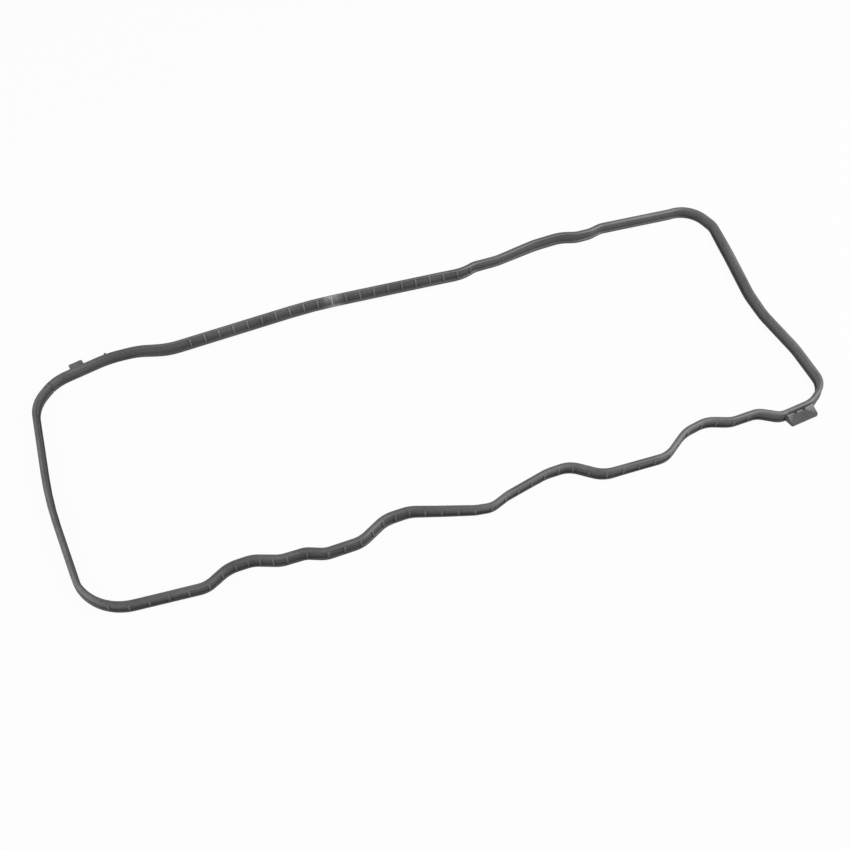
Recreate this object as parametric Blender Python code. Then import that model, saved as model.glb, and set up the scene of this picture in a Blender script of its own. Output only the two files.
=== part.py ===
"""Valve cover gasket: one closed loop of moulded rubber that seals a rocker cover to a cylinder head.

The loop lies on its sealing foot, head up, as it does on a bench. X runs along the loop, Y across it
and Z up. The origin is under the middle of the loop, on the plane that the foot stands on.
"""

import math

import bmesh
import bpy
from mathutils import Matrix, Vector

MM = 0.001

# Loop: the rectangle that the outline is set out in, measured on the centre line of the section
LOOP_LENGTH = 448 * MM
LOOP_WIDTH = 181 * MM

# Section: a sealing foot, a waist with a recess on both sides, and a head that fills the cover's groove
SECTION_HEIGHT = 7.4 * MM
FOOT_WIDTH = 3.8 * MM
FOOT_HEIGHT = 1.2 * MM
LIP_GROOVE_WIDTH = 1.4 * MM
LIP_GROOVE_DEPTH = 0.4 * MM
WAIST_WIDTH = 2.2 * MM
SHOULDER_HEIGHT = 0.4 * MM
HEAD_WIDTH = 3.6 * MM
HEAD_HEIGHT = 0.9 * MM
CROWN_WIDTH = 1.8 * MM

# Ribs that cross the recess and grip the walls of the groove
RIB_PITCH = 9.3 * MM
RIB_HEIGHT = 0.6 * MM
RIB_BASE = 1.2 * MM

# Stretches with a set number of ribs, anticlockwise: whether on the back run, the places of the first
# and the last rib, and how many ribs. Between two stretches of one run the ribs keep near their pitch.
RIB_STRETCHES = (
    (False, -0.911, -0.681, 6),
    (False, -0.609, -0.487, 5),
    (False, -0.389, -0.308, 3),
    (False, -0.169, -0.013, 5),
    (False, 0.265, 0.466, 6),
    (False, 0.714, 0.755, 2),
    (True, 0.260, -0.553, 21),
)

# Large tab: a wedge that slopes down from a root in the recess to a thin free end, a little askew
LARGE_TAB_PLACE = 0.891
LARGE_TAB_WIDTH = 18.2 * MM
LARGE_TAB_REACH = 5.4 * MM
LARGE_TAB_THICKNESS = 1.5 * MM
LARGE_TAB_ROOT_HEIGHT = 5.4 * MM
LARGE_TAB_SKEW = 1.2 * MM
LARGE_TAB_CORNER = 0.8 * MM
TAB_CLEARANCE = 0.3 * MM

# Small tab: a nub beside the head
SMALL_TAB_PLACE = -0.856
SMALL_TAB_WIDTH = 8.5 * MM
SMALL_TAB_REACH = 3.0 * MM
SMALL_TAB_THICKNESS = 2.6 * MM
SMALL_TAB_CORNER = 0.9 * MM
SMALL_TAB_DROP = 0.3 * MM

# Lean: the tall section has rolled outwards, head first, on parts of the back run, the right end and the
# front run, and inwards on the left part of the front run, which is less than nothing here.
# The places are where each lean starts, is full, starts to fall and ends, from -1 to 1 of the half length or width.
BACK_RUN_LEAN = math.radians(38)
BACK_LEAN_PLACES = (-0.74, -0.56, 0.12, 0.32)
BACK_RIGHT_LEAN = math.radians(14)
BACK_RIGHT_LEAN_PLACES = (0.34, 0.48, 0.57, 0.70)
RIGHT_END_LEAN = math.radians(18)
RIGHT_LEAN_PLACES = (-0.25, 0.20, 0.50, 0.85)
FRONT_RUN_LEAN = math.radians(8)
FRONT_LEAN_PLACES = (-0.10, 0.02, 0.10, 0.32)
FRONT_RIGHT_LEAN = math.radians(6)
FRONT_RIGHT_LEAN_PLACES = (0.30, 0.42, 0.74, 0.84)
FRONT_LEFT_LEAN = math.radians(-10)
FRONT_LEFT_LEAN_PLACES = (-0.82, -0.42, -0.22, -0.09)

# Fineness: the sweep's stations, a tab's corner, and the angle from which an edge looks sharp
FACET_TURN = math.radians(10)
STATION_GAP = 16 * MM
CORNER_FACETS = 3
SHARP_FROM = math.radians(30)

# The share of a leg that its two bends may take together, and how near two points count as one place
BEND_ROOM = 0.98
SAME_PLACE = 0.1 * MM

# Outline, anticlockwise from the front left corner, one row for each bend:
# place along the run, from -1 to 1 of its half length; inset from the run's datum line; bend radius.
# The front run steps in and out between the bosses of the cover's bolts.
FRONT_RUN = (
    (-0.964, 10.8 * MM, 29 * MM),
    (-0.685, 6.4 * MM, 14 * MM),
    (-0.625, 13.7 * MM, 20 * MM),
    (-0.565, 14.1 * MM, 18 * MM),
    (-0.502, 8.8 * MM, 16 * MM),
    (-0.440, 8.7 * MM, 12 * MM),
    (-0.395, 4.6 * MM, 14 * MM),
    (-0.304, 5.2 * MM, 18 * MM),
    (-0.232, 14.2 * MM, 20 * MM),
    (-0.167, 14.8 * MM, 22 * MM),
    (-0.013, 3.5 * MM, 20 * MM),
    (0.029, 2.0 * MM, 12 * MM),
    (0.076, 6.2 * MM, 16 * MM),
    (0.192, 12.5 * MM, 30 * MM),
    (0.257, 13.0 * MM, 16 * MM),
    (0.328, 1.0 * MM, 18 * MM),
    (0.502, 0.0 * MM, 16 * MM),
    (0.578, 11.9 * MM, 24 * MM),
    (0.647, 14.9 * MM, 18 * MM),
    (0.708, 9.6 * MM, 16 * MM),
    (0.786, 10.3 * MM, 12 * MM),
    (0.838, 3.4 * MM, 9 * MM),
    (0.933, 5.8 * MM, 18 * MM),
)
RIGHT_END = (
    (-0.830, 1.0 * MM, 14 * MM),
    (-0.497, 1.9 * MM, 60 * MM),
    (-0.155, 6.7 * MM, 50 * MM),
    (0.044, 7.0 * MM, 60 * MM),
    (0.420, 2.8 * MM, 120 * MM),
    (0.729, 0.0 * MM, 14 * MM),
)
BACK_RUN = (
    (0.971, 4.0 * MM, 22 * MM),
    (0.902, 4.4 * MM, 40 * MM),
    (0.683, 1.1 * MM, 14 * MM),
    (0.645, 3.4 * MM, 20 * MM),
    (0.600, 3.4 * MM, 18 * MM),
    (0.556, 0.2 * MM, 28 * MM),
    (0.473, 1.0 * MM, 60 * MM),
    (0.348, 5.4 * MM, 50 * MM),
    (0.277, 5.6 * MM, 16 * MM),
    (0.237, 8.9 * MM, 30 * MM),
    (-0.200, 2.8 * MM, 250 * MM),
    (-0.616, 8.1 * MM, 40 * MM),
    (-0.696, 2.5 * MM, 40 * MM),
    (-0.772, 2.0 * MM, 60 * MM),
    (-0.924, 9.5 * MM, 26 * MM),
)
LEFT_END = (
    (0.735, 3.0 * MM, 24 * MM),
    (-0.022, 0.0 * MM, 250 * MM),
)

RUBBER_COLOUR = (0.075, 0.073, 0.074, 1.0)
RUBBER_ROUGHNESS = 0.55


def clear_scene():
    for item in list(bpy.data.objects):
        bpy.data.objects.remove(item, do_unlink=True)


def outline_bends():
    """Corner points of the outline in plan, each with its bend radius."""
    half_length = LOOP_LENGTH / 2
    half_width = LOOP_WIDTH / 2
    bends = []
    for place, inset, radius in FRONT_RUN:
        bends.append((Vector((place * half_length, inset - half_width)), radius))
    for place, inset, radius in RIGHT_END:
        bends.append((Vector((half_length - inset, place * half_width)), radius))
    for place, inset, radius in BACK_RUN:
        bends.append((Vector((place * half_length, half_width - inset)), radius))
    for place, inset, radius in LEFT_END:
        bends.append((Vector((inset - half_length, place * half_width)), radius))
    return bends


def rounded_path(bends):
    """Points of the outline with every bend rounded to its radius, or as far as its neighbours leave room."""
    count = len(bends)
    points = [point for point, _ in bends]
    before = [(points[i - 1] - points[i]).normalized() for i in range(count)]
    after = [(points[(i + 1) % count] - points[i]).normalized() for i in range(count)]
    half_turns = [(math.pi - before[i].angle(after[i])) / 2 for i in range(count)]
    tangents = [bends[i][1] * math.tan(half_turns[i]) for i in range(count)]
    room = [1.0] * count
    for i in range(count):
        j = (i + 1) % count
        fit = BEND_ROOM * (points[j] - points[i]).length / (tangents[i] + tangents[j])
        room[i] = min(room[i], fit)
        room[j] = min(room[j], fit)
    path = []
    for i in range(count):
        tangent = tangents[i] * room[i]
        radius = tangent / math.tan(half_turns[i])
        start = points[i] + before[i] * tangent
        side = 1 if before[i].cross(after[i]) < 0 else -1
        centre = start + Vector((before[i].y, -before[i].x)) * radius * side
        steps = max(1, math.ceil(2 * half_turns[i] / FACET_TURN))
        for step in range(steps + 1):
            turn = side * 2 * half_turns[i] * step / steps
            path.append(centre + Matrix.Rotation(turn, 2) @ (start - centre))
    return path


def divided(path):
    """The closed path with its long straight stretches divided."""
    stations = []
    for here, ahead in zip(path, path[1:] + path[:1]):
        parts = max(1, math.ceil((ahead - here).length / STATION_GAP))
        stations.extend(here.lerp(ahead, part / parts) for part in range(parts))
    return stations


def smooth_step(value, start, end):
    share = min(max((value - start) / (end - start), 0.0), 1.0)
    return share * share * (3 - 2 * share)


def lean_over(place, places, lean):
    """The lean at this place, growing from nothing and falling back to nothing between the four places."""
    rise_start, rise_end, fall_start, fall_end = places
    return lean * smooth_step(place, rise_start, rise_end) * (1 - smooth_step(place, fall_start, fall_end))


def lean_at(point):
    """How far the section has rolled outwards over this point of the path, in radians."""
    along = point.x / (LOOP_LENGTH / 2)
    across = point.y / (LOOP_WIDTH / 2)
    if across > 0:
        lean = lean_over(along, BACK_LEAN_PLACES, BACK_RUN_LEAN)
        lean += lean_over(along, BACK_RIGHT_LEAN_PLACES, BACK_RIGHT_LEAN)
    else:
        lean = lean_over(along, FRONT_LEAN_PLACES, FRONT_RUN_LEAN)
        lean += lean_over(along, FRONT_RIGHT_LEAN_PLACES, FRONT_RIGHT_LEAN)
        lean += lean_over(along, FRONT_LEFT_LEAN_PLACES, FRONT_LEFT_LEAN)
    if along > 0:
        lean += lean_over(across, RIGHT_LEAN_PLACES, RIGHT_END_LEAN)
    return lean


def centre_height(lean):
    """Height of the section's middle when it stands on its foot, or on an edge of the foot."""
    return SECTION_HEIGHT / 2 * math.cos(lean) + FOOT_WIDTH / 2 * abs(math.sin(lean))


def section_frame(point, direction):
    """Frame in the middle of the section: X along the path, Y inwards and Z up the section."""
    lean = lean_at(point)
    along = Vector((direction.x, direction.y, 0)).normalized()
    inwards = Vector((-along.y, along.x, 0))
    turned = Matrix((along, inwards, (0, 0, 1))).transposed() @ Matrix.Rotation(lean, 3, "X")
    place = Vector((point.x, point.y, centre_height(lean)))
    return Matrix.Translation(place) @ turned.to_4x4()


def legs(stations):
    """Each leg of the path: the distance along the path at its start, and its two ends."""
    found = []
    passed = 0.0
    for here, ahead in zip(stations, stations[1:] + stations[:1]):
        found.append((passed, here, ahead))
        passed += (ahead - here).length
    return found


def path_length(stations):
    passed, here, ahead = legs(stations)[-1]
    return passed + (ahead - here).length


def distance_on_run(stations, place, back):
    """Distance along the path to where the front run, or the back run, comes nearest to this place."""
    x = place * LOOP_LENGTH / 2
    found = []
    for passed, here, ahead in legs(stations):
        if (here.y > 0) == back and here.x != ahead.x:
            share = min(max((x - here.x) / (ahead.x - here.x), 0.0), 1.0)
            point = here.lerp(ahead, share)
            found.append((abs(point.x - x), passed + share * (ahead - here).length))
    return min(found)[1]


def frame_at(stations, distance):
    """Frame of the section at this distance along the path."""
    distance %= path_length(stations)
    passed, here, ahead = [leg for leg in legs(stations) if leg[0] <= distance][-1]
    share = (distance - passed) / (ahead - here).length
    return section_frame(here.lerp(ahead, share), ahead - here)


def rib_distances(stations):
    """Distances of the ribs along the path: the set stretches, and even steps near the pitch between two
    stretches of one run. The ends of the loop and the right part of the back run have none."""
    distances = []
    last_back, last_end = None, 0.0
    for back, first, last, count in RIB_STRETCHES:
        start = distance_on_run(stations, first, back)
        end = distance_on_run(stations, last, back)
        if back == last_back:
            steps = max(1, round((start - last_end) / RIB_PITCH))
            distances.extend(last_end + (start - last_end) * step / steps for step in range(1, steps))
        distances.extend(start + (end - start) * rib / (count - 1) for rib in range(count))
        last_back, last_end = back, end
    return distances


def section_points():
    """Half of the section, from the middle of the sealing lips up to the crown, about the section's middle."""
    bottom = -SECTION_HEIGHT / 2
    top = SECTION_HEIGHT / 2
    return (
        (LIP_GROOVE_WIDTH / 2, bottom),
        (FOOT_WIDTH / 2, bottom),
        (FOOT_WIDTH / 2, bottom + FOOT_HEIGHT),
        (WAIST_WIDTH / 2, bottom + FOOT_HEIGHT + SHOULDER_HEIGHT),
        (WAIST_WIDTH / 2, top - HEAD_HEIGHT - SHOULDER_HEIGHT),
        (HEAD_WIDTH / 2, top - HEAD_HEIGHT),
        (CROWN_WIDTH / 2, top),
    )


def section_curve():
    half = section_points()
    groove_floor = (0.0, LIP_GROOVE_DEPTH - SECTION_HEIGHT / 2)
    outline = [groove_floor, *half, *((-x, y) for x, y in reversed(half))]
    curve = bpy.data.curves.new("section", "CURVE")
    spline = curve.splines.new("POLY")
    spline.points.add(len(outline) - 1)
    for point, (x, y) in zip(spline.points, outline):
        point.co = (x, y, 0, 1)
    spline.use_cyclic_u = True
    return helper("section", curve)


def helper(name, data):
    """An object that only shapes the gasket and is not part of it."""
    item = bpy.data.objects.new(name, data)
    item.hide_render = True
    item.display_type = "WIRE"
    bpy.context.scene.collection.objects.link(item)
    return item


def sweep(stations, section):
    """The plain strip: the section carried round the path, rolled by the lean at each station."""
    curve = bpy.data.curves.new("path", "CURVE")
    curve.dimensions = "3D"
    curve.twist_mode = "Z_UP"
    curve.bevel_mode = "OBJECT"
    curve.bevel_object = section
    spline = curve.splines.new("POLY")
    spline.points.add(len(stations) - 1)
    for point, station in zip(spline.points, stations):
        lean = lean_at(station)
        point.co = (station.x, station.y, centre_height(lean), 1)
        point.tilt = lean
    spline.use_cyclic_u = True
    path = helper("path", curve)
    depsgraph = bpy.context.evaluated_depsgraph_get()
    mesh = bpy.data.meshes.new_from_object(path.evaluated_get(depsgraph))
    mesh.name = "valve_cover_gasket"
    return mesh


def prism(bm, outline, frame, rise):
    """A solid of this outline in the frame's own coordinates, extruded along a vector."""
    face = bm.faces.new([bm.verts.new(frame @ Vector(point)) for point in outline])
    made = bmesh.ops.extrude_face_region(bm, geom=[face])
    moved = [item for item in made["geom"] if isinstance(item, bmesh.types.BMVert)]
    bmesh.ops.translate(bm, verts=moved, vec=frame.to_3x3() @ Vector(rise))


def finished_helper(name, bm):
    bmesh.ops.recalc_face_normals(bm, faces=bm.faces)
    mesh = bpy.data.meshes.new(name)
    bm.to_mesh(mesh)
    bm.free()
    return helper(name, mesh)


def ribs(stations):
    """One plate through the waist at each rib, thick in the middle and sharp where it ends on both sides."""
    reach = WAIST_WIDTH / 2 + RIB_HEIGHT
    middle = RIB_BASE / 2 * reach / RIB_HEIGHT
    low = FOOT_HEIGHT / 2 - SECTION_HEIGHT / 2
    high = SECTION_HEIGHT / 2 - HEAD_HEIGHT / 2
    outline = ((middle, 0, low), (0, reach, low), (-middle, 0, low), (0, -reach, low))
    bm = bmesh.new()
    for distance in rib_distances(stations):
        prism(bm, outline, frame_at(stations, distance), (0, 0, high - low))
    return finished_helper("ribs", bm)


def round_corners(bm, reach, radius, frame):
    """Rounds the upright edges at the free end of a tab."""
    flat = frame.inverted()
    edges = []
    for edge in bm.edges:
        ends = [flat @ vert.co for vert in edge.verts]
        upright = (ends[0] - ends[1]).xy.length < SAME_PLACE
        if upright and all(abs(end.y + reach) < SAME_PLACE for end in ends):
            edges.append(edge)
    bmesh.ops.bevel(bm, geom=edges, offset=radius, segments=CORNER_FACETS, profile=0.5, affect="EDGES")


def large_tab(stations):
    """Wedge with its underside near the ground, its root in the recess and its free end set along the strip."""
    frame = frame_at(stations, distance_on_run(stations, LARGE_TAB_PLACE, back=False))
    start = -LARGE_TAB_WIDTH / 2
    side = FOOT_WIDTH / 2
    reach = side + LARGE_TAB_REACH
    bottom = TAB_CLEARANCE - SECTION_HEIGHT / 2
    tip = bottom + LARGE_TAB_THICKNESS
    root = LARGE_TAB_ROOT_HEIGHT - SECTION_HEIGHT / 2
    profile = ((0, bottom), (-reach, bottom), (-reach, tip), (-side, root), (0, root))
    outline = [(start - LARGE_TAB_SKEW * y / reach, y, z) for y, z in profile]
    bm = bmesh.new()
    prism(bm, outline, frame, (LARGE_TAB_WIDTH, 0, 0))
    round_corners(bm, reach, LARGE_TAB_CORNER, frame)
    return finished_helper("large_tab", bm)


def small_tab(stations):
    """Nub beside the head, a little below the crown."""
    frame = frame_at(stations, distance_on_run(stations, SMALL_TAB_PLACE, back=True))
    start = -SMALL_TAB_WIDTH / 2
    reach = HEAD_WIDTH / 2 + SMALL_TAB_REACH
    top = SECTION_HEIGHT / 2 - SMALL_TAB_DROP
    bottom = top - SMALL_TAB_THICKNESS
    outline = ((start, 0, bottom), (start, -reach, bottom), (start, -reach, top), (start, 0, top))
    bm = bmesh.new()
    prism(bm, outline, frame, (SMALL_TAB_WIDTH, 0, 0))
    round_corners(bm, reach, SMALL_TAB_CORNER, frame)
    return finished_helper("small_tab", bm)


def rubber():
    """Moulded black rubber, a little greyed, with a dull sheen."""
    material = bpy.data.materials.new("moulded_rubber")
    material.use_nodes = True
    shader = material.node_tree.nodes["Principled BSDF"]
    shader.inputs["Base Color"].default_value = RUBBER_COLOUR
    shader.inputs["Roughness"].default_value = RUBBER_ROUGHNESS
    shader.inputs["Metallic"].default_value = 0.0
    return material


def gasket():
    stations = divided(rounded_path(outline_bends()))
    mesh = sweep(stations, section_curve())
    mesh.materials.clear()
    mesh.materials.append(rubber())
    mesh.shade_smooth()
    mesh.set_sharp_from_angle(angle=SHARP_FROM)
    body = bpy.data.objects.new("valve_cover_gasket", mesh)
    bpy.context.scene.collection.objects.link(body)
    for addition in (ribs(stations), large_tab(stations), small_tab(stations)):
        union = body.modifiers.new("join_" + addition.name, "BOOLEAN")
        union.operation = "UNION"
        union.object = addition
    return body


clear_scene()
gasket()
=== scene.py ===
"""Valve cover gasket, dressed: the moulded loop with its rounded section, ribs, tabs and splice, on white."""

import math

import bmesh
import bpy
from mathutils import Matrix, Vector, kdtree


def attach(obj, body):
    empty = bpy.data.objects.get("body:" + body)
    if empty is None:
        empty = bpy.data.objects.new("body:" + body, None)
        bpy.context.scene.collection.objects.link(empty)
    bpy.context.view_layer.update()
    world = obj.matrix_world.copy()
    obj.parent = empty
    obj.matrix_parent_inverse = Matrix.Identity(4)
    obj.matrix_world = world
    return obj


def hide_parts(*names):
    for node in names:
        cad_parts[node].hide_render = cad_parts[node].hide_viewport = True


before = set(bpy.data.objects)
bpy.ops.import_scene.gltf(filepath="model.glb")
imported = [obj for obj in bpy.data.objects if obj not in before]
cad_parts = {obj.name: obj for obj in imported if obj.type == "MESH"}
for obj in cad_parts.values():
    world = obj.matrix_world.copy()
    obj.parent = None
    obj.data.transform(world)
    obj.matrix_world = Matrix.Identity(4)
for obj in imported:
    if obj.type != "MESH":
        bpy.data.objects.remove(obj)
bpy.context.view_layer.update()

MM = 0.001

# Loop: the rectangle that the outline is set out in, as in the solids
LOOP_LENGTH = 448 * MM
LOOP_WIDTH = 181 * MM

# Section: foot with two sealing lips, ribbed recess, and the head that fills the cover's groove
SECTION_HEIGHT = 7.4 * MM
FOOT_WIDTH = 3.8 * MM
FOOT_HEIGHT = 1.2 * MM
LIP_GROOVE_WIDTH = 1.4 * MM
LIP_GROOVE_DEPTH = 0.4 * MM
WAIST_WIDTH = 2.2 * MM
SHOULDER_HEIGHT = 0.4 * MM
HEAD_WIDTH = 3.6 * MM
HEAD_HEIGHT = 0.9 * MM
CROWN_WIDTH = 1.6 * MM
LIP_RADIUS = 0.35 * MM
FOOT_RADIUS = 0.35 * MM
WAIST_RADIUS = 0.45 * MM
HEAD_RADIUS = 0.3 * MM
CROWN_RADIUS = 1.9 * MM

# Ribs that cross the recess. A stretch has a set number of them, anticlockwise: whether on the back run,
# the places of the first and the last rib, and how many ribs.
RIB_PITCH = 9.3 * MM
RIB_HEIGHT = 0.6 * MM
RIB_WIDTH = 1.2 * MM
RIB_ROUNDING = 0.45 * RIB_WIDTH
RIB_STRETCHES = (
    (False, -0.911, -0.681, 6),
    (False, -0.609, -0.487, 5),
    (False, -0.389, -0.308, 3),
    (False, -0.169, -0.013, 5),
    (False, 0.265, 0.466, 6),
    (False, 0.714, 0.755, 2),
    (True, 0.260, -0.553, 21),
)

# Large tab: a wedge that slopes down from a root in the recess to a thin free end, a little askew
LARGE_TAB_PLACE = 0.891
LARGE_TAB_WIDTH = 18.2 * MM
LARGE_TAB_REACH = 5.4 * MM
LARGE_TAB_THICKNESS = 1.5 * MM
LARGE_TAB_ROOT_HEIGHT = 5.4 * MM
LARGE_TAB_SKEW = 1.2 * MM
LARGE_TAB_CORNER = 0.8 * MM
TAB_CLEARANCE = 0.3 * MM
TAB_EDGE = 0.3 * MM

# Two pockets in the large tab's root: their places along the tab from its middle, and how far each cutter
# stands past the tab, under the strip and above
POCKET_PLACES = (-3.5 * MM, 2.5 * MM)
POCKET_LENGTH = 2.2 * MM
POCKET_WIDTH = 1.0 * MM
POCKET_DEPTH = 0.9 * MM
POCKET_ROOM_INWARDS = 0.1 * MM
POCKET_ROOM_ABOVE = 0.2 * MM

# Small tab: a nub beside the head
SMALL_TAB_PLACE = -0.856
SMALL_TAB_WIDTH = 8.5 * MM
SMALL_TAB_REACH = 3.0 * MM
SMALL_TAB_THICKNESS = 2.6 * MM
SMALL_TAB_CORNER = 0.9 * MM
SMALL_TAB_DROP = 0.3 * MM

# Lean: the tall section has rolled outwards, or inwards where the angle is less than nothing. The places are
# where each lean starts, is full, starts to fall and ends, from -1 to 1 of the half length or width.
BACK_RUN_LEAN = math.radians(38)
BACK_LEAN_PLACES = (-0.74, -0.56, 0.12, 0.32)
BACK_RIGHT_LEAN = math.radians(14)
BACK_RIGHT_LEAN_PLACES = (0.34, 0.48, 0.57, 0.70)
RIGHT_END_LEAN = math.radians(18)
RIGHT_LEAN_PLACES = (-0.25, 0.20, 0.50, 0.85)
FRONT_RUN_LEAN = math.radians(8)
FRONT_LEAN_PLACES = (-0.10, 0.02, 0.10, 0.32)
FRONT_RIGHT_LEAN = math.radians(6)
FRONT_RIGHT_LEAN_PLACES = (0.30, 0.42, 0.74, 0.84)
FRONT_LEFT_LEAN = math.radians(-10)
FRONT_LEFT_LEAN_PLACES = (-0.82, -0.42, -0.22, -0.09)

# Fineness of the sweep and of the rounded corners
PATH_FACET = math.radians(3.5)
STATION_GAP = 6 * MM
SECTION_FACET = math.radians(18)
CORNER_SEGMENTS = 5
EDGE_SEGMENTS = 3
SMOOTH_UP_TO = math.radians(35)

# The share of a leg that its two bends may take together, the length below which a bend counts as straight,
# and how near two points count as one place
BEND_ROOM = 0.98
NO_LENGTH = 1e-7
SAME_PLACE = 0.05 * MM

# Outline, anticlockwise from the front left corner, one row for each bend:
# place along the run, from -1 to 1 of its half length; inset from the run's datum line; bend radius.
FRONT_RUN = (
    (-0.964, 10.8 * MM, 29 * MM),
    (-0.685, 6.4 * MM, 14 * MM),
    (-0.625, 13.7 * MM, 20 * MM),
    (-0.565, 14.1 * MM, 18 * MM),
    (-0.502, 8.8 * MM, 16 * MM),
    (-0.440, 8.7 * MM, 12 * MM),
    (-0.395, 4.6 * MM, 14 * MM),
    (-0.304, 5.2 * MM, 18 * MM),
    (-0.232, 14.2 * MM, 20 * MM),
    (-0.167, 14.8 * MM, 22 * MM),
    (-0.013, 3.5 * MM, 20 * MM),
    (0.029, 2.0 * MM, 12 * MM),
    (0.076, 6.2 * MM, 16 * MM),
    (0.192, 12.5 * MM, 30 * MM),
    (0.257, 13.0 * MM, 16 * MM),
    (0.328, 1.0 * MM, 18 * MM),
    (0.502, 0.0 * MM, 16 * MM),
    (0.578, 11.9 * MM, 24 * MM),
    (0.647, 14.9 * MM, 18 * MM),
    (0.708, 9.6 * MM, 16 * MM),
    (0.786, 10.3 * MM, 12 * MM),
    (0.838, 3.4 * MM, 9 * MM),
    (0.933, 5.8 * MM, 18 * MM),
)
RIGHT_END = (
    (-0.830, 1.0 * MM, 14 * MM),
    (-0.497, 1.9 * MM, 60 * MM),
    (-0.155, 6.7 * MM, 50 * MM),
    (0.044, 7.0 * MM, 60 * MM),
    (0.420, 2.8 * MM, 120 * MM),
    (0.729, 0.0 * MM, 14 * MM),
)
BACK_RUN = (
    (0.971, 4.0 * MM, 22 * MM),
    (0.902, 4.4 * MM, 40 * MM),
    (0.683, 1.1 * MM, 14 * MM),
    (0.645, 3.4 * MM, 20 * MM),
    (0.600, 3.4 * MM, 18 * MM),
    (0.556, 0.2 * MM, 28 * MM),
    (0.473, 1.0 * MM, 60 * MM),
    (0.348, 5.4 * MM, 50 * MM),
    (0.277, 5.6 * MM, 16 * MM),
    (0.237, 8.9 * MM, 30 * MM),
    (-0.200, 2.8 * MM, 250 * MM),
    (-0.616, 8.1 * MM, 40 * MM),
    (-0.696, 2.5 * MM, 40 * MM),
    (-0.772, 2.0 * MM, 60 * MM),
    (-0.924, 9.5 * MM, 26 * MM),
)
# The left end's bow is set in a little, which keeps the rounded section inside the box of the solids.
LEFT_END = (
    (0.735, 3.0 * MM, 24 * MM),
    (-0.022, 0.3 * MM, 250 * MM),
)

# Splice: a hairline, stepped to and fro, across the loop where the moulded strip was joined.
# Its cutter stands a little past the section, a core of the section stays uncut, and a point that near the
# groove still counts as on its floor.
SPLICE_PLACE = Vector((-210.1 * MM, 77.5 * MM))
SPLICE_WIDTH = 0.36 * MM
SPLICE_DEPTH = 0.7 * MM
SPLICE_STEP = 0.7 * MM
SPLICE_CORE_HALF = 2 * MM
CUTTER_ROOM = 1 * MM
GROOVE_ROOM = 0.1 * MM

# Nib: what is left of a moulding runner on the outer edge
NIB_PLACE = Vector((-174.3 * MM, 90.1 * MM))
NIB_LENGTH = 1.3 * MM
NIB_REACH = 0.45 * MM
NIB_HEIGHT = 0.7 * MM
NIB_ROUNDING = 0.4 * NIB_REACH

# Rubber: two greys that mottle into each other, and the real size of each pattern in it. The mould's grain is
# finer than this on the real part, and is drawn this coarse so that it shows.
RUBBER_IOR = 1.5
RUBBER_SPECULAR = 0.5
RUBBER_ROUGHNESS = (0.42, 0.55)
SKIN = ((0.35, "#525051"), (0.68, "#646263"))
MOTTLE_SIZE = 22 * MM
FLOW_LENGTH, FLOW_WIDTH = 35 * MM, 0.7 * MM
FLECK_SIZE = 1.6 * MM
# Streaks that break up the painted glare patch: short along the strip, long across it
GLARE_STREAK_LENGTH, GLARE_STREAK_WIDTH = 1.1 * MM, 9 * MM
GRAIN_SIZE, GRAIN_DEPTH, GRAIN_STRENGTH = 0.6 * MM, 0.04 * MM, 0.35

# The part of a noise's range that is used, and the levels that the patterns are drawn between
NOISE_SPAN = (0.3, 0.7)
FLOW_LEVELS = (0.86, 1.14)
FLECK_LEVELS = (0.88, 1.12)
GLARE_STREAK_SPAN = (0.35, 0.65)
GLARE_STREAK_LEVELS = (0.35, 1.0)

# Painted shade and highlight, as factors, over the section's height from the foot to the crown: the foot and
# the low walls are painted darker, the upper walls lighter, and the head's edge has a painted highlight. On
# ribbed stretches the recess between the ribs has painted shade, and the ribs' edges a painted highlight. The
# left end's painted highlight and shade run across it, from its outer wall to its inner one.
HEIGHT_SHADE_AND_HIGHLIGHT = (
    (0.0, 0.80), (0.13, 0.64), (0.20, 0.50), (0.35, 0.56), (0.50, 0.74), (0.65, 0.94), (0.80, 1.10),
    (0.89, 1.19), (0.95, 1.00), (1.0, 1.0))
RECESS_SHADE_AND_HIGHLIGHT = (
    (0.0, 1.1), (0.18, 1.1), (0.26, 0.66), (0.45, 0.74), (0.62, 0.86), (0.80, 0.97), (0.89, 1.25),
    (0.96, 1.06), (1.0, 0.92))
RIB_EDGE_HIGHLIGHT = ((0.0, 1.0), (0.20, 1.1), (0.28, 2.5), (0.60, 1.9), (0.83, 1.7), (0.87, 1.0), (1.0, 1.0))
LEFT_END_HIGHLIGHT_AND_SHADE = ((0.0, 1.05), (0.35, 1.1), (0.50, 1.7), (0.60, 1.1), (0.80, 0.48), (1.0, 0.40))
# Painted glare on the back run
GLARE_PATCH_TONE = 3.0
# Painted shade on the large tab's plate and on the section's outer side beside its root
TAB_PLATE_SHADE = 0.55
TAB_ROOT_SHADE = 0.50
# Painted shade on the floor of the splice's groove
SPLICE_GROOVE_SHADE = 0.42

# A ramp's stops hold each tone divided by this, and its result is multiplied back
RAMP_SCALE = 2.0

# Where the painted tones change, out from the middle of the section: the ribs' edges, the end of what belongs
# to the section, the large tab's plate and its root, with how far beside the tab a point still counts as on
# it.
# Then the left end, along X, the reach of the painted shade between the ribs along the strip, and the painted
# glare patch on the back run.
RIB_TONE_FROM = (1.25 * MM, 1.5 * MM)
SECTION_TONE_TO = (1.8 * MM, 2.0 * MM)
TAB_TONE_FROM = (2.0 * MM, 2.3 * MM)
TAB_ROOT_FROM = (-0.2 * MM, -0.7 * MM)
TAB_ROOT_FADE = 0.12
TAB_MARK_ROOM = 1 * MM
LEFT_END_SHADE = (-214 * MM, -206 * MM)
RIB_SHADE_REACH = 0.9 * RIB_PITCH
PATCH_PLACE = -0.142
PATCH_HALF_LENGTH = 8 * MM
PATCH_FADE = 0.9

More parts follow.
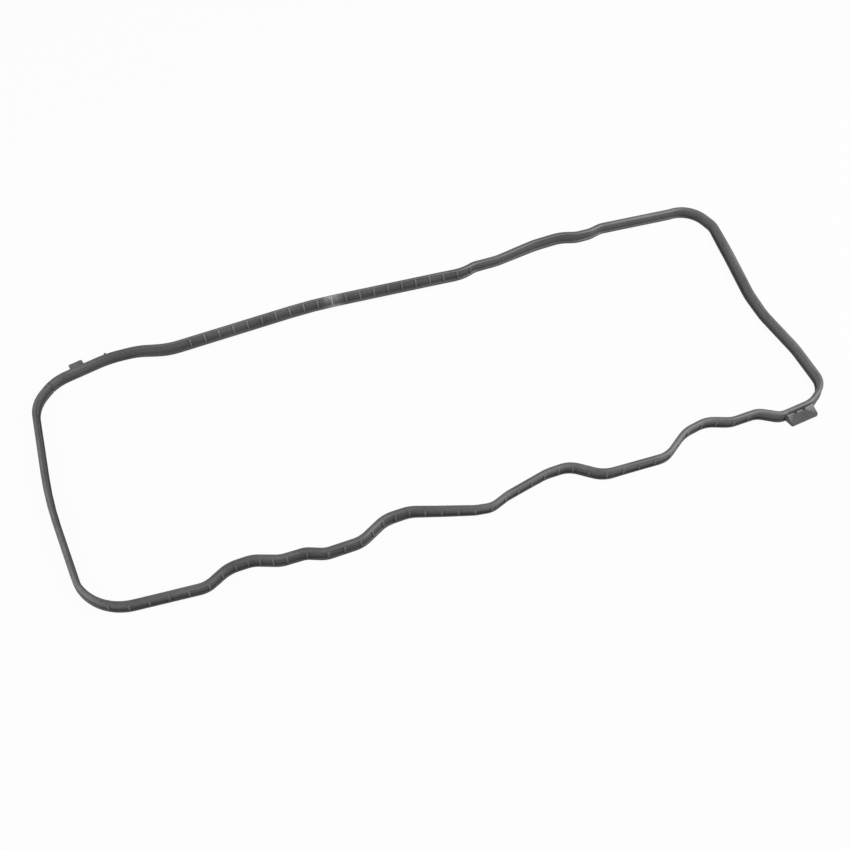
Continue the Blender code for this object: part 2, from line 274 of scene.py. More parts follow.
# Camera at the photograph's angle
CAMERA_PLACE = (-0.14466586, -0.40239394, 0.5578957)
CAMERA_DOWN = math.radians(54)
CAMERA_TURN = math.radians(-19.6028168)
CAMERA_LENS = 50

# Light: a level from all round, and two lamps, each with its place and its power
WORLD_LEVEL = 0.30
RIGHT_LAMP = (Vector((0.69, -0.10, 0.74)), 9.8)
LEFT_LAMP = (Vector((-0.866, 0.0, 0.50)), 4.2)
LAMP_SIZE = 0.5

# Floor: its own grey, and how much of what the camera sees there is plain white
FLOOR_SIZE = 6.0
FLOOR_DROP = 0.05 * MM
FLOOR_GREY = "#bcbcbc"
FLOOR_ROUGHNESS = 0.9
FLOOR_OWN_WHITE = 0.96


# Helpers

def srgb(code):
    """A hex colour as linear values."""
    parts = [int(code[i:i + 2], 16) / 255 for i in (1, 3, 5)]
    return (*(part / 12.92 if part <= 0.04045 else ((part + 0.055) / 1.055) ** 2.4 for part in parts), 1.0)


def add_node(tree, kind, settings=None, links=None):
    """A shader node with its settings, by attribute or input name, and its links from other sockets."""
    node = tree.nodes.new(kind)
    for name, value in (settings or {}).items():
        if isinstance(name, str) and hasattr(node, name):
            setattr(node, name, value)
        else:
            node.inputs[name].default_value = value
    for name, socket in (links or {}).items():
        tree.links.new(socket, node.inputs[name])
    return node


def active(item):
    """Makes this the only selected object."""
    bpy.ops.object.select_all(action="DESELECT")
    item.select_set(True)
    bpy.context.view_layer.objects.active = item


def edit(item, mode):
    """Starts editing this object's edges or faces with nothing selected."""
    active(item)
    bpy.ops.object.mode_set(mode="EDIT")
    bpy.ops.mesh.select_mode(type=mode)
    bpy.ops.mesh.select_all(action="DESELECT")


def done():
    """Ends the editing."""
    bpy.ops.object.mode_set(mode="OBJECT")


def near(value, place):
    """Whether two measures count as the same."""
    return abs(value - place) < SAME_PLACE


def upright(edge):
    """Whether an edge runs up the section."""
    return (edge.verts[0].co - edge.verts[1].co).xy.length < SAME_PLACE


def box(name, low, high):
    """A cube drawn out between two corners."""
    bpy.ops.object.select_all(action="DESELECT")
    low, high = Vector(low), Vector(high)
    bpy.ops.mesh.primitive_cube_add(size=1, location=(low + high) / 2)
    item = bpy.context.active_object
    item.name = name
    item.scale = high - low
    bpy.ops.object.transform_apply(location=True, rotation=True, scale=True)
    return item


def round_edges(item, test, width, segments):
    """Rounds the edges that pass the test."""
    edit(item, "EDGE")
    bm = bmesh.from_edit_mesh(item.data)
    for edge in bm.edges:
        edge.select_set(test(edge))
    bm.select_flush_mode()
    bmesh.update_edit_mesh(item.data)
    bpy.ops.mesh.bevel(offset=width, segments=segments, profile=0.5, affect="EDGES", clamp_overlap=True)
    done()


def slice_across(item, place):
    """Cuts new edges round a piece, at this place across the strip."""
    edit(item, "FACE")
    bpy.ops.mesh.select_all(action="SELECT")
    bpy.ops.mesh.bisect(plane_co=(0, place, 0), plane_no=(0, 1, 0))
    done()


def set_in(item, place):
    """Puts a finished piece at its place on the strip, and leaves its object at the origin."""
    active(item)
    item.matrix_world = place
    bpy.ops.object.transform_apply(location=True, rotation=True, scale=True)


def combine(body, other, operation):
    """Joins another closed piece to the body, or cuts it out, and removes it."""
    active(body)
    change = body.modifiers.new(operation.lower(), "BOOLEAN")
    change.operation = operation
    change.solver = "EXACT"
    change.object = other
    bpy.ops.object.modifier_apply(modifier=change.name)
    bpy.data.objects.remove(other, do_unlink=True)


# Outline

def outline_bends():
    """The outline's corners before they are rounded, anticlockwise, each with its radius."""
    half_length = LOOP_LENGTH / 2
    half_width = LOOP_WIDTH / 2
    bends = []
    for place, inset, radius in FRONT_RUN:
        bends.append((Vector((place * half_length, inset - half_width)), radius))
    for place, inset, radius in RIGHT_END:
        bends.append((Vector((half_length - inset, place * half_width)), radius))
    for place, inset, radius in BACK_RUN:
        bends.append((Vector((place * half_length, half_width - inset)), radius))
    for place, inset, radius in LEFT_END:
        bends.append((Vector((inset - half_length, place * half_width)), radius))
    return bends


def rounded(bends, facet):
    """Points of a closed outline with every bend rounded to its radius, or as far as there is room."""
    count = len(bends)
    points = [point for point, _ in bends]
    before = [(points[i - 1] - points[i]).normalized() for i in range(count)]
    after = [(points[(i + 1) % count] - points[i]).normalized() for i in range(count)]
    half_turns = [(math.pi - before[i].angle(after[i])) / 2 for i in range(count)]
    tangents = [bends[i][1] * math.tan(half_turns[i]) for i in range(count)]
    share = [1.0] * count
    for i in range(count):
        j = (i + 1) % count
        fit = BEND_ROOM * (points[j] - points[i]).length / max(tangents[i] + tangents[j], NO_LENGTH)
        share[i] = min(share[i], fit)
        share[j] = min(share[j], fit)
    outline = []
    for i in range(count):
        tangent = tangents[i] * share[i]
        if tangent < NO_LENGTH:
            outline.append(points[i])
            continue
        radius = tangent / math.tan(half_turns[i])
        start = points[i] + before[i] * tangent
        side = 1 if before[i].cross(after[i]) < 0 else -1
        centre = start + Vector((before[i].y, -before[i].x)) * radius * side
        steps = max(1, math.ceil(2 * half_turns[i] / facet))
        for step in range(steps + 1):
            turn = side * 2 * half_turns[i] * step / steps
            outline.append(centre + Matrix.Rotation(turn, 2) @ (start - centre))
    return outline


def divided(path):
    """Stations of the sweep: the path's points, with more where two lie far apart."""
    stations = []
    for here, ahead in zip(path, path[1:] + path[:1]):
        parts = max(1, math.ceil((ahead - here).length / STATION_GAP))
        stations.extend(here.lerp(ahead, part / parts) for part in range(parts))
    return stations


def smooth_step(value, start, end):
    """0 before the start, 1 past the end, and a smooth rise between."""
    share = min(max((value - start) / (end - start), 0.0), 1.0)
    return share * share * (3 - 2 * share)


def lean_over(place, places, lean):
    """What one stretch's lean comes to at this place along its run."""
    rise_start, rise_end, fall_start, fall_end = places
    return lean * smooth_step(place, rise_start, rise_end) * (1 - smooth_step(place, fall_start, fall_end))


def lean_at(point):
    """How far the section has rolled outwards over this point of the path, in radians."""
    along = point.x / (LOOP_LENGTH / 2)
    across = point.y / (LOOP_WIDTH / 2)
    if across > 0:
        lean = lean_over(along, BACK_LEAN_PLACES, BACK_RUN_LEAN)
        lean += lean_over(along, BACK_RIGHT_LEAN_PLACES, BACK_RIGHT_LEAN)
    else:
        lean = lean_over(along, FRONT_LEAN_PLACES, FRONT_RUN_LEAN)
        lean += lean_over(along, FRONT_RIGHT_LEAN_PLACES, FRONT_RIGHT_LEAN)
        lean += lean_over(along, FRONT_LEFT_LEAN_PLACES, FRONT_LEFT_LEAN)
    if along > 0:
        lean += lean_over(across, RIGHT_LEAN_PLACES, RIGHT_END_LEAN)
    return lean


def centre_height(lean):
    """Height of the section's middle when it stands on its foot, or on an edge of the foot."""
    return SECTION_HEIGHT / 2 * math.cos(lean) + FOOT_WIDTH / 2 * abs(math.sin(lean))


def section_frame(point, direction):
    """Frame in the middle of the section: X along the strip, Y inwards and Z up the section."""
    lean = lean_at(point)
    along = Vector((direction.x, direction.y, 0)).normalized()
    inwards = Vector((-along.y, along.x, 0))
    turned = Matrix((along, inwards, (0, 0, 1))).transposed() @ Matrix.Rotation(lean, 3, "X")
    return Matrix.Translation((point.x, point.y, centre_height(lean))) @ turned.to_4x4()


def legs(stations):
    """The steps from station to station, each with the distance passed before it."""
    found = []
    passed = 0.0
    for here, ahead in zip(stations, stations[1:] + stations[:1]):
        found.append((passed, here, ahead))
        passed += (ahead - here).length
    return found


def path_length(stations):
    """The length of the whole loop."""
    passed, here, ahead = legs(stations)[-1]
    return passed + (ahead - here).length


def distance_on_run(stations, place, back):
    """The distance along the path of a place on the back or the front run."""
    x = place * LOOP_LENGTH / 2
    found = []
    for passed, here, ahead in legs(stations):
        if (here.y > 0) == back and here.x != ahead.x:
            share = min(max((x - here.x) / (ahead.x - here.x), 0.0), 1.0)
            point = here.lerp(ahead, share)
            found.append((abs(point.x - x), passed + share * (ahead - here).length))
    return min(found)[1]


def frame_at(stations, distance):
    """Frame of the section at a distance along the path."""
    distance %= path_length(stations)
    passed, here, ahead = [leg for leg in legs(stations) if leg[0] <= distance][-1]
    share = (distance - passed) / (ahead - here).length
    return section_frame(here.lerp(ahead, share), ahead - here)


def frame_near(stations, point):
    """Frame of the section at the station nearest to this point in plan."""
    nearest = min(range(len(stations)), key=lambda i: (stations[i] - point).length)
    return section_frame(stations[nearest], stations[(nearest + 1) % len(stations)] - stations[nearest - 1])


def rib_distances(stations):
    """Distances of the ribs along the path: the set stretches, and even steps near the pitch between two
    stretches of one run. The two ends of the loop and the outer parts of the back run have none."""
    distances = []
    last_back, last_end = None, 0.0
    for back, first, last, count in RIB_STRETCHES:
        start = distance_on_run(stations, first, back)
        end = distance_on_run(stations, last, back)
        if back == last_back:
            steps = max(1, round((start - last_end) / RIB_PITCH))
            distances.extend(last_end + (start - last_end) * step / steps for step in range(1, steps))
        distances.extend(start + (end - start) * rib / (count - 1) for rib in range(count))
        last_back, last_end = back, end
    return distances


# The strip

def section_bends():
    """Corners of the section about its middle, each with its radius, from the lips' groove up and round."""
    bottom = -SECTION_HEIGHT / 2
    top = SECTION_HEIGHT / 2
    half = (
        (LIP_GROOVE_WIDTH / 2, bottom, LIP_RADIUS),
        (FOOT_WIDTH / 2, bottom, FOOT_RADIUS),
        (FOOT_WIDTH / 2, bottom + FOOT_HEIGHT, FOOT_RADIUS),
        (WAIST_WIDTH / 2, bottom + FOOT_HEIGHT + SHOULDER_HEIGHT, WAIST_RADIUS),
        (WAIST_WIDTH / 2, top - HEAD_HEIGHT - SHOULDER_HEIGHT, WAIST_RADIUS),
        (HEAD_WIDTH / 2, top - HEAD_HEIGHT, HEAD_RADIUS),
        (CROWN_WIDTH / 2, top, CROWN_RADIUS),
    )
    floor = (0.0, bottom + LIP_GROOVE_DEPTH, LIP_RADIUS)
    rows = [floor, *half, *((-x, y, radius) for x, y, radius in reversed(half))]
    return [(Vector((x, y)), radius) for x, y, radius in rows]


def drawn(name, points, tilts=None):
    """A closed curve through these points."""
    curve = bpy.data.curves.new(name, "CURVE")
    curve.dimensions = "3D" if tilts else "2D"
    spline = curve.splines.new("POLY")
    spline.points.add(len(points) - 1)
    for i, point in enumerate(points):
        spline.points[i].co = (point.x, point.y, point.z if tilts else 0, 1)
        spline.points[i].tilt = tilts[i] if tilts else 0
    spline.use_cyclic_u = True
    item = bpy.data.objects.new(name, curve)
    bpy.context.scene.collection.objects.link(item)
    return item


def strip(stations):
    """The plain strip: the rounded section carried round the outline and made a mesh."""
    section = drawn("section", rounded(section_bends(), SECTION_FACET))
    leans = [lean_at(station) for station in stations]
    points = [Vector((s.x, s.y, centre_height(lean))) for s, lean in zip(stations, leans)]
    path = drawn("gasket_strip", points, leans)
    path.data.twist_mode = "Z_UP"
    path.data.bevel_mode = "OBJECT"
    path.data.bevel_object = section
    active(path)
    bpy.ops.object.convert(target="MESH")
    bpy.data.objects.remove(section, do_unlink=True)
    return bpy.context.active_object


def ribs(stations):
    """One bar with rounded edges through the waist, copied to every rib's place."""
    reach = WAIST_WIDTH / 2 + RIB_HEIGHT
    low = FOOT_HEIGHT / 2 - SECTION_HEIGHT / 2
    high = SECTION_HEIGHT / 2 - HEAD_HEIGHT
    rib = box("rib", (-RIB_WIDTH / 2, -reach, low), (RIB_WIDTH / 2, reach, high))
    round_edges(rib, upright, RIB_ROUNDING, CORNER_SEGMENTS)
    copies = []
    for distance in rib_distances(stations):
        copy = rib.copy()
        copy.data = rib.data.copy()
        copy.matrix_world = frame_at(stations, distance)
        bpy.context.scene.collection.objects.link(copy)
        copies.append(copy)
    bpy.data.objects.remove(rib, do_unlink=True)
    active(copies[0])
    for copy in copies:
        copy.select_set(True)
    bpy.ops.object.join()
    bpy.ops.object.transform_apply(location=True, rotation=True, scale=True)
    return bpy.context.active_object


def large_tab(stations):
    """Wedge at the foot: a box whose top slopes down to the free end, which is set along the strip."""
    half = LARGE_TAB_WIDTH / 2
    side = FOOT_WIDTH / 2
    reach = side + LARGE_TAB_REACH
    bottom = TAB_CLEARANCE - SECTION_HEIGHT / 2
    tip = bottom + LARGE_TAB_THICKNESS
    root = LARGE_TAB_ROOT_HEIGHT - SECTION_HEIGHT / 2
    tab = box("large_tab", (-half, -reach, bottom), (half, 0, root))
    slice_across(tab, -side)
    for vert in tab.data.vertices:
        if near(vert.co.y, -reach) and near(vert.co.z, root):
            vert.co.z = tip
        vert.co.x -= LARGE_TAB_SKEW * vert.co.y / reach
    round_edges(tab, lambda edge: upright(edge) and all(near(vert.co.y, -reach) for vert in edge.verts),
                LARGE_TAB_CORNER, CORNER_SEGMENTS)
    set_in(tab, frame_at(stations, distance_on_run(stations, LARGE_TAB_PLACE, back=False)))
    return tab


def pockets(stations):
    """The two small pockets that are sunk into the large tab where it leaves the strip."""
    side = FOOT_WIDTH / 2
    top = LARGE_TAB_ROOT_HEIGHT - SECTION_HEIGHT / 2
    found = []
    for place in POCKET_PLACES:
        low = (place - POCKET_LENGTH / 2, -side - POCKET_WIDTH, top - POCKET_DEPTH)
        high = (place + POCKET_LENGTH / 2, -side + POCKET_ROOM_INWARDS, top + POCKET_ROOM_ABOVE)
        pocket = box("pocket", low, high)
        set_in(pocket, frame_at(stations, distance_on_run(stations, LARGE_TAB_PLACE, back=False)))
        found.append(pocket)
    return found


def small_tab(stations):
    """Nub beside the head, with its outer corners and its upper edges rounded."""
    half = SMALL_TAB_WIDTH / 2
    reach = HEAD_WIDTH / 2 + SMALL_TAB_REACH
    top = SECTION_HEIGHT / 2 - SMALL_TAB_DROP
    bottom = top - SMALL_TAB_THICKNESS
    tab = box("small_tab", (-half, -reach, bottom), (half, 0, top))
    round_edges(tab, lambda edge: upright(edge) and all(near(vert.co.y, -reach) for vert in edge.verts),
                SMALL_TAB_CORNER, CORNER_SEGMENTS)
    round_edges(tab, lambda edge: all(near(vert.co.z, top) and vert.co.y < -SAME_PLACE
                                      for vert in edge.verts), TAB_EDGE, EDGE_SEGMENTS)
    set_in(tab, frame_at(stations, distance_on_run(stations, SMALL_TAB_PLACE, back=True)))
    return tab


def splice_cutter(stations):
    """A thin frame, stepped to and fro across the strip, that scores the head and the foot all round."""
    side = FOOT_WIDTH / 2
    top = SECTION_HEIGHT / 2
    cutter = box("splice", (-SPLICE_WIDTH / 2, -side - CUTTER_ROOM, -top - CUTTER_ROOM),
                 (SPLICE_WIDTH / 2, side + CUTTER_ROOM, top + CUTTER_ROOM))
    bends = (-side / 3, side / 3)
    for place in bends:
        slice_across(cutter, place)
    for vert in cutter.data.vertices:
        vert.co.x += SPLICE_STEP * (near(vert.co.y, bends[0]) - near(vert.co.y, bends[1]))
    core_side = HEAD_WIDTH / 2 - SPLICE_DEPTH
    core = box("splice_core", (-SPLICE_CORE_HALF, -core_side, -top + SPLICE_DEPTH),
               (SPLICE_CORE_HALF, core_side, top - SPLICE_DEPTH))
    combine(cutter, core, "DIFFERENCE")
    set_in(cutter, frame_near(stations, SPLICE_PLACE))
    return cutter


def nib(stations):
    """The small stub of the runner, rounded where it ends."""
    side = HEAD_WIDTH / 2
    low = SECTION_HEIGHT / 2 - HEAD_HEIGHT
    piece = box("nib", (-NIB_LENGTH / 2, -side - NIB_REACH, low),
                (NIB_LENGTH / 2, -side / 2, low + NIB_HEIGHT))
    round_edges(piece, lambda edge: all(vert.co.y < -side for vert in edge.verts),
                NIB_ROUNDING, EDGE_SEGMENTS)
    set_in(piece, frame_near(stations, NIB_PLACE))
    return piece


def in_groove(place):
    """Whether a point, measured from the splice's place on the strip, lies on the floor of its groove."""
    if abs(place.x) > SPLICE_WIDTH / 2 + SPLICE_STEP + GROOVE_ROOM:
        return False
    on_side = near(abs(place.y), HEAD_WIDTH / 2 - SPLICE_DEPTH)
    return on_side or near(abs(place.z), SECTION_HEIGHT / 2 - SPLICE_DEPTH)


def places_on_strip(gasket, stations):
    """The distance along the strip and the place across and up the section of every vertex. The large tab is
    measured from its own place on the strip, so that the bend beside it doesn't tear its tones."""
    tree = kdtree.KDTree(len(stations))
    for i, station in enumerate(stations):
        tree.insert((station.x, station.y, 0), i)
    tree.balance()
    passed = [leg[0] for leg in legs(stations)]
    tab_distance = distance_on_run(stations, LARGE_TAB_PLACE, back=False)
    to_tab = frame_at(stations, tab_distance).inverted()
    places = []
    for vert in gasket.data.vertices:
        on_tab = to_tab @ vert.co
        beside = abs(on_tab.x) < LARGE_TAB_WIDTH / 2 + TAB_MARK_ROOM
        if beside and on_tab.y < -FOOT_WIDTH / 2 + SAME_PLACE:
            places.append((tab_distance + on_tab.x, on_tab.y, on_tab.z))
            continue
        _, nearest, _ = tree.find((vert.co.x, vert.co.y, 0))
        direction = (stations[(nearest + 1) % len(stations)] - stations[nearest - 1]).normalized()
        local = section_frame(stations[nearest], direction).inverted() @ vert.co
        places.append((passed[nearest] + local.x, local.y, local.z))
    return places


def mark_strip(gasket, stations):
    """Writes on every face corner its place on the strip, how far the recess there takes its painted shade,
    near the ribs or at the left end, and whether it lies in the splice's groove, which takes painted shade."""
    places = places_on_strip(gasket, stations)
    rib_places = rib_distances(stations)
    to_splice = frame_near(stations, SPLICE_PLACE).inverted()
    recess_shade_share, scored = [], []
    for vert, (along, _, _) in zip(gasket.data.vertices, places):
        # The recess takes its painted shade near the ribs and at the left end
        gap = min(abs(along - rib) for rib in rib_places)
        by_ribs = 1 - smooth_step(gap, RIB_SHADE_REACH / 2, RIB_SHADE_REACH)
        at_left_end = 1 - smooth_step(vert.co.x, *LEFT_END_SHADE)
        recess_shade_share.append(max(by_ribs, at_left_end))
        scored.append(float(in_groove(to_splice @ vert.co)))
    faces = [tuple(polygon.vertices) for polygon in gasket.data.polygons]
    for name, values in (("recess_shade_share", recess_shade_share), ("scored", scored)):
        layer = gasket.data.attributes.new(name, "FLOAT", "CORNER")
        layer.data.foreach_set("value", [values[i] for face in faces for i in face])

    # A face across the place where the path starts and ends counts on from one end
    length = path_length(stations)
    corners = []
    for face in faces:
        first = places[face[0]][0]
        for along, across, up in (places[i] for i in face):
            if along - first > length / 2:
                along -= length
            if first - along > length / 2:
                along += length
            corners.extend((along, across, up))
    layer = gasket.data.attributes.new("strip", "FLOAT_VECTOR", "CORNER")
    layer.data.foreach_set("vector", corners)


def moulded_rubber(stations):
    """Compression-moulded black rubber: dark grey and dull, with a fine grain from the mould. The raised
    edges and ribs have painted highlights, and the recess between the ribs painted shade that keeps it nearly
    black; the foot, the large tab and the splice's groove have painted shade, and a patch on the back run
    painted glare."""
    material = bpy.data.materials.new("moulded_rubber")
    material.use_nodes = True
    tree = material.node_tree
    shader = tree.nodes["Principled BSDF"]
    shader.inputs["Metallic"].default_value = 0.0
    shader.inputs["IOR"].default_value = RUBBER_IOR
    shader.inputs["Specular IOR Level"].default_value = RUBBER_SPECULAR

    # Places: on the piece, on the strip, and from the middle of the painted glare patch and of the large tab
    place = add_node(tree, "ShaderNodeTexCoord").outputs["Object"]
    place_x = add_node(tree, "ShaderNodeSeparateXYZ", links={"Vector": place}).outputs["X"]
    strip_place = add_node(tree, "ShaderNodeAttribute", {"attribute_name": "strip"}).outputs["Vector"]
    along, across, up = add_node(tree, "ShaderNodeSeparateXYZ", links={"Vector": strip_place}).outputs
    sideways = add_node(tree, "ShaderNodeMath", {"operation": "ABSOLUTE"}, {0: across}).outputs[0]
    apart = []
    for run_place, back in ((PATCH_PLACE, True), (LARGE_TAB_PLACE, False)):
        offset = add_node(tree, "ShaderNodeMath", {
            "operation": "SUBTRACT", 1: distance_on_run(stations, run_place, back)}, {0: along})
        size = add_node(tree, "ShaderNodeMath", {"operation": "ABSOLUTE"}, {0: offset.outputs[0]})
        apart.append(size.outputs[0])

    # Patterns: two run on the strip, drawn out along or across it
    streaks, glare_streak_place = (
        add_node(tree, "ShaderNodeMapping", {"Scale": (1 / long, 1 / wide, 1 / wide)}, {
            "Vector": strip_place}).outputs["Vector"]
        for long, wide in ((FLOW_LENGTH, FLOW_WIDTH), (GLARE_STREAK_LENGTH, GLARE_STREAK_WIDTH)))
    mottle, flow, fleck, glare_streaks, grain = (
        add_node(tree, "ShaderNodeTexNoise", {"Scale": scale, "Detail": detail}, {
            "Vector": vector}).outputs["Fac"]
        for vector, scale, detail in (
            (place, 1 / MOTTLE_SIZE, 4.0),
            (streaks, 1.0, 3.0),
            (place, 1 / FLECK_SIZE, 2.0),
            (glare_streak_place, 1.0, 1.0),
            (place, 1 / GRAIN_SIZE, 3.0)))

    # Shares: each value between two measures, as a level between two others
    share = {
        "recess_shade_share": add_node(tree, "ShaderNodeAttribute", {"attribute_name": "recess_shade_share"}).outputs["Fac"],
        "scored": add_node(tree, "ShaderNodeAttribute", {"attribute_name": "scored"}).outputs["Fac"],
        "right": add_node(tree, "ShaderNodeMath", {"operation": "GREATER_THAN", 1: 0.0}, {
            0: place_x}).outputs[0],
    }
    half_tab = LARGE_TAB_WIDTH / 2
    for name, value, (low, high), (first, last), rise in (
        ("height", up, (-SECTION_HEIGHT / 2, SECTION_HEIGHT / 2), (0, 1), "LINEAR"),
        ("width", across, (-HEAD_WIDTH / 2, HEAD_WIDTH / 2), (0, 1), "LINEAR"),
        ("rib_edge", sideways, RIB_TONE_FROM, (0, 1), "LINEAR"),
        ("section", sideways, SECTION_TONE_TO, (1, 0), "LINEAR"),
        ("outer", across, TAB_ROOT_FROM, (0, 1), "LINEAR"),
        ("left_end", place_x, LEFT_END_SHADE, (1, 0), "LINEAR"),
        ("plate", sideways, TAB_TONE_FROM, (0, 1), "SMOOTHSTEP"),
        ("patch", apart[0], (PATCH_HALF_LENGTH * (1 - PATCH_FADE), PATCH_HALF_LENGTH), (1, 0), "SMOOTHSTEP"),
        ("by_tab", apart[1], (half_tab * (1 - TAB_ROOT_FADE), half_tab), (1, 0), "SMOOTHSTEP"),
        ("glare_streaks", glare_streaks, GLARE_STREAK_SPAN, GLARE_STREAK_LEVELS, "LINEAR"),
        ("flow", flow, NOISE_SPAN, FLOW_LEVELS, "LINEAR"),
        ("fleck", fleck, NOISE_SPAN, FLECK_LEVELS, "LINEAR"),
        ("roughness", mottle, NOISE_SPAN, RUBBER_ROUGHNESS, "LINEAR"),
    ):
        share[name] = add_node(tree, "ShaderNodeMapRange", {
            "From Min": low, "From Max": high, "To Min": first, "To Max": last, "interpolation_type": rise},
            {"Value": value}).outputs["Result"]
    # Where the painted highlight on the ribs' edges, the painted glare patch and the painted shade on the
    # large tab lie
    for name, first, second in (
        ("rib", "rib_edge", "section"),
        ("painted_glare", "patch", "glare_streaks"),
        ("tab_wall", "by_tab", "outer"),
        ("tab_root", "tab_wall", "section"),
        ("tab_plate", "plate", "right"),
    ):
        share[name] = add_node(tree, "ShaderNodeMath", {"operation": "MULTIPLY"}, {
            0: share[first], 1: share[second]}).outputs[0]

    # Tones of painted shade and highlight: one for the height all round, and the others only where their
    # share is
    tones = []
    for rows, value, where in (
        (HEIGHT_SHADE_AND_HIGHLIGHT, "height", None),
        (RECESS_SHADE_AND_HIGHLIGHT, "height", "recess_shade_share"),
        (RIB_EDGE_HIGHLIGHT, "height", "rib"),
        (LEFT_END_HIGHLIGHT_AND_SHADE, "width", "left_end"),
    ):
        ramp = add_node(tree, "ShaderNodeValToRGB", links={"Fac": share[value]})
        stops = ramp.color_ramp.elements
        for stop_place, tone in rows:
            stop = stops[0] if stop_place == 0 else stops[-1] if stop_place == 1 else stops.new(stop_place)
            stop.color = (tone / RAMP_SCALE, tone / RAMP_SCALE, tone / RAMP_SCALE, 1)
        tone = add_node(tree, "ShaderNodeMath", {"operation": "MULTIPLY", 1: RAMP_SCALE}, {
            0: ramp.outputs["Color"]}).outputs[0]
        if where:
            tone = add_node(tree, "ShaderNodeMix", {"data_type": "RGBA", 6: (1, 1, 1, 1)}, {
                0: share[where], 7: tone}).outputs[2]
        tones.append(tone)
    # Painted glare on the back run, and painted shade beside the large tab's root and on the floor of the
    # splice's groove
    for where, tone in (("painted_glare", GLARE_PATCH_TONE), ("tab_root", TAB_ROOT_SHADE), ("scored", SPLICE_GROOVE_SHADE)):
        tones.append(add_node(tree, "ShaderNodeMapRange", {"To Min": 1.0, "To Max": tone}, {
            "Value": share[where]}).outputs["Result"])

    # The painted tones multiplied together, with the tab's plate in one painted shade of its own
    toned = tones[0]
    for tone in tones[1:]:
        toned = add_node(tree, "ShaderNodeMix", {"data_type": "RGBA", "blend_type": "MULTIPLY", 0: 1.0}, {
            6: toned, 7: tone}).outputs[2]
    toned = add_node(tree, "ShaderNodeMix", {"data_type": "RGBA", 7: (TAB_PLATE_SHADE, TAB_PLATE_SHADE, TAB_PLATE_SHADE, 1)}, {
        0: share["tab_plate"], 6: toned}).outputs[2]

    skin = add_node(tree, "ShaderNodeValToRGB", links={"Fac": mottle})
    for stop, (stop_place, colour) in zip(skin.color_ramp.elements, SKIN):
        stop.position, stop.color = stop_place, srgb(colour)
    colour = skin.outputs["Color"]
    for factor in (toned, share["flow"], share["fleck"]):
        colour = add_node(tree, "ShaderNodeMix", {"data_type": "RGBA", "blend_type": "MULTIPLY", 0: 1.0}, {
            6: colour, 7: factor}).outputs[2]
    bump = add_node(tree, "ShaderNodeBump", {"Strength": GRAIN_STRENGTH, "Distance": GRAIN_DEPTH}, {
        "Height": grain})
    tree.links.new(colour, shader.inputs["Base Color"])
    tree.links.new(share["roughness"], shader.inputs["Roughness"])
    tree.links.new(bump.outputs["Normal"], shader.inputs["Normal"])
    return material


def gasket_piece():
    """The dressed gasket, which stands for the CAD node."""
    stations = divided(rounded(outline_bends(), PATH_FACET))
    gasket = strip(stations)
    gasket.name = "moulded_gasket"
    gasket.data.name = "moulded_gasket"
    combine(gasket, ribs(stations), "UNION")
    combine(gasket, large_tab(stations), "UNION")
    for pocket in pockets(stations):
        combine(gasket, pocket, "DIFFERENCE")
    combine(gasket, small_tab(stations), "UNION")
    combine(gasket, nib(stations), "UNION")
    combine(gasket, splice_cutter(stations), "DIFFERENCE")
    gasket.data.materials.clear()
    gasket.data.materials.append(moulded_rubber(stations))
    active(gasket)
    bpy.ops.object.shade_smooth_by_angle(angle=SMOOTH_UP_TO)
    mark_strip(gasket, stations)
    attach(gasket, "root")
    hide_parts("valve_cover_gasket")


# Stage

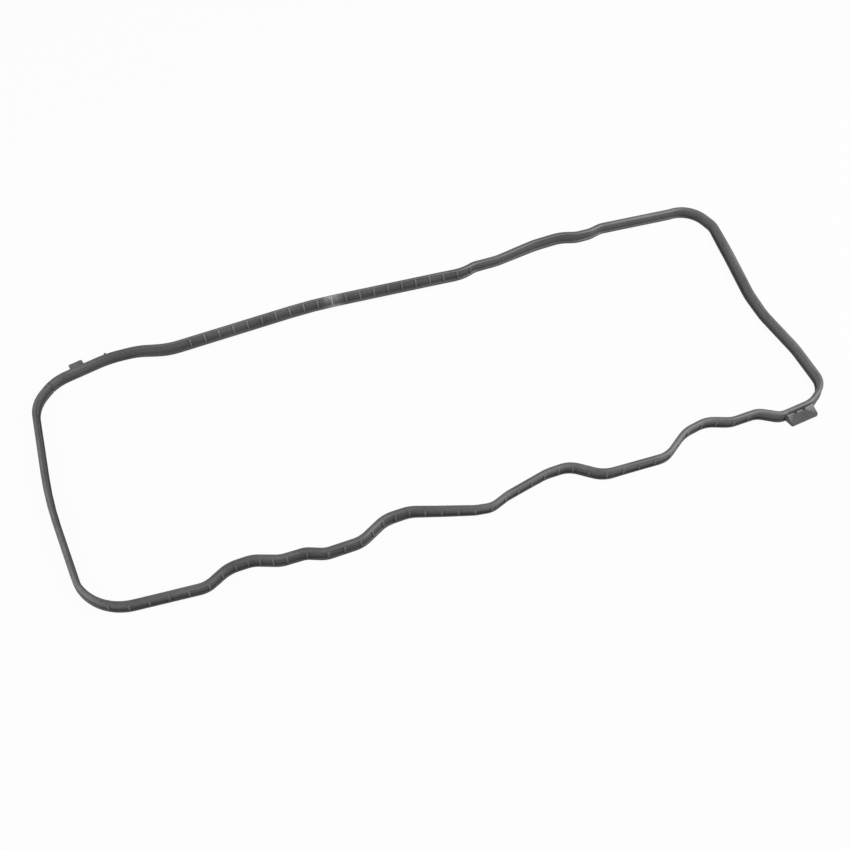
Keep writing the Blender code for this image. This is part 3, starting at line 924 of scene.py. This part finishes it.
def floor():
    """White paper: plain white to the eye, dull, with the loop's faint soft shadow on it."""
    bpy.ops.object.select_all(action="DESELECT")
    bpy.ops.mesh.primitive_plane_add(size=FLOOR_SIZE, location=(0, 0, -FLOOR_DROP))
    plane = bpy.context.active_object
    plane.name = "floor"
    material = bpy.data.materials.new("white_paper")
    material.use_nodes = True
    tree = material.node_tree
    shader = tree.nodes["Principled BSDF"]
    shader.inputs["Base Color"].default_value = srgb(FLOOR_GREY)
    shader.inputs["Roughness"].default_value = FLOOR_ROUGHNESS
    shader.inputs["Specular IOR Level"].default_value = 0.0
    white = add_node(tree, "ShaderNodeEmission", {"Color": (1, 1, 1, 1), "Strength": 1.0})
    rays = add_node(tree, "ShaderNodeLightPath")
    seen = add_node(tree, "ShaderNodeMath", {"operation": "MAXIMUM"},
                    {0: rays.outputs["Is Camera Ray"], 1: rays.outputs["Is Glossy Ray"]})
    seen = add_node(tree, "ShaderNodeMath", {"operation": "MAXIMUM"},
                    {0: seen.outputs[0], 1: rays.outputs["Is Transmission Ray"]})
    share = add_node(tree, "ShaderNodeMath", {"operation": "MULTIPLY", 1: FLOOR_OWN_WHITE}, {
        0: seen.outputs[0]})
    mixed = add_node(tree, "ShaderNodeMixShader", links={
        0: share.outputs[0], 1: shader.outputs[0], 2: white.outputs[0]})
    tree.links.new(mixed.outputs[0], tree.nodes["Material Output"].inputs["Surface"])
    plane.data.materials.append(material)


def lights():
    """Even light from all round, seen as white by the camera, and a softbox on each side."""
    world = bpy.data.worlds.new("studio")
    world.use_nodes = True
    tree = world.node_tree
    sky = tree.nodes["Background"]
    sky.inputs["Color"].default_value = (1, 1, 1, 1)
    rays = add_node(tree, "ShaderNodeLightPath")
    seen = add_node(tree, "ShaderNodeMath", {"operation": "MAXIMUM"},
                    {0: rays.outputs["Is Camera Ray"], 1: rays.outputs["Is Transmission Ray"]})
    level = add_node(tree, "ShaderNodeMapRange", {"To Min": WORLD_LEVEL, "To Max": 1.0}, {
        "Value": seen.outputs[0]})
    tree.links.new(level.outputs["Result"], sky.inputs["Strength"])
    bpy.context.scene.world = world
    for name, (place, power) in (("right_softbox", RIGHT_LAMP), ("left_softbox", LEFT_LAMP)):
        lamp = bpy.data.lights.new(name, "AREA")
        lamp.size = LAMP_SIZE
        lamp.energy = power
        item = bpy.data.objects.new(name, lamp)
        item.location = place
        item.rotation_euler = (-place).to_track_quat("-Z", "Y").to_euler()
        bpy.context.scene.collection.objects.link(item)


def camera():
    """The photograph's view."""
    data = bpy.data.cameras.new("camera")
    data.lens = CAMERA_LENS
    item = bpy.data.objects.new("camera", data)
    item.location = CAMERA_PLACE
    item.rotation_euler = (math.pi / 2 - CAMERA_DOWN, 0, CAMERA_TURN)
    bpy.context.scene.collection.objects.link(item)
    bpy.context.scene.camera = item


gasket_piece()
floor()
lights()
camera()
bpy.context.scene.view_settings.view_transform = "Standard"
